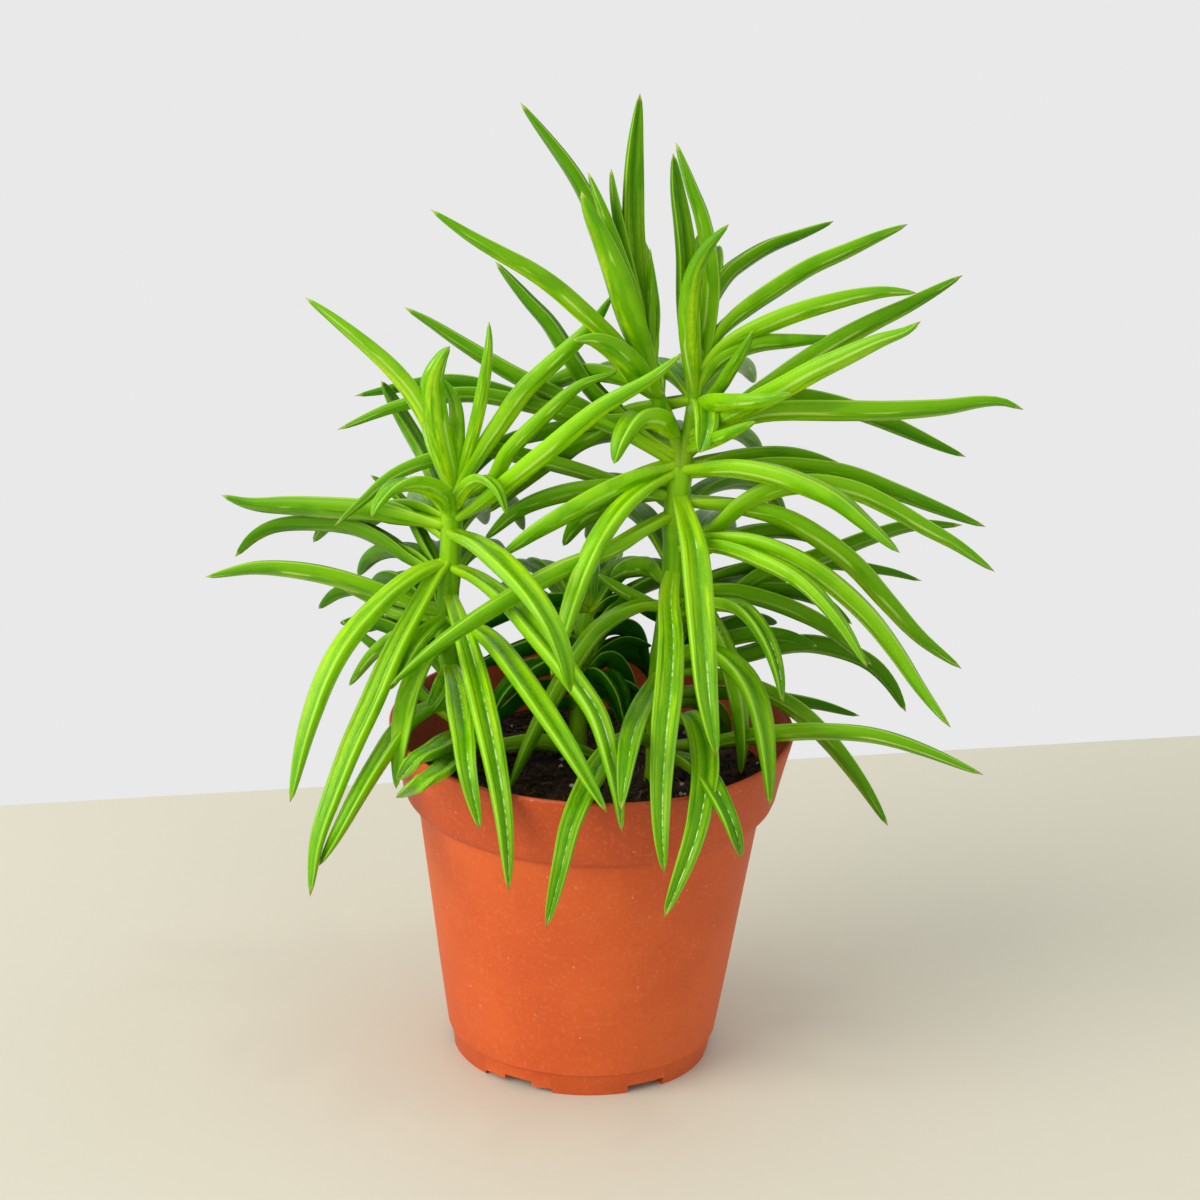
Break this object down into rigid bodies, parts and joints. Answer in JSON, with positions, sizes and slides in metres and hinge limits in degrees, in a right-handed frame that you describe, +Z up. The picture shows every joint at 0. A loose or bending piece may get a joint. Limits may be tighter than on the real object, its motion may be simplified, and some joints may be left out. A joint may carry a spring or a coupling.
{
  "type": "potted peperomia plant",
  "caption": "Bushy succulent-leaved peperomia with arching narrow leaves on upright stems, growing in a tapered nursery pot with a deep rim band.",
  "frame": {"origin": "the middle of the flat pad under the pot, on the surface that the pot stands on", "axes": "+Z is up along the pot's axis, the front of the plant faces -Y and +X is to its right"},
  "size_m": [0.2062, 0.1336, 0.2556],
  "materials": {
    "pot": "terracotta-coloured matte plastic with a fine speckle",
    "soil": "dark damp peat with crumbs and white perlite grains",
    "leaf": "fleshy bright green leaf with a soft gloss and a darker trough on top"
  },
  "bodies": {
    "root": {"pot": "pot", "soil": "soil", "tall_stem": "leaf", "left_stem": "leaf", "middle_stem": "leaf"}
  },
  "joints": []
}
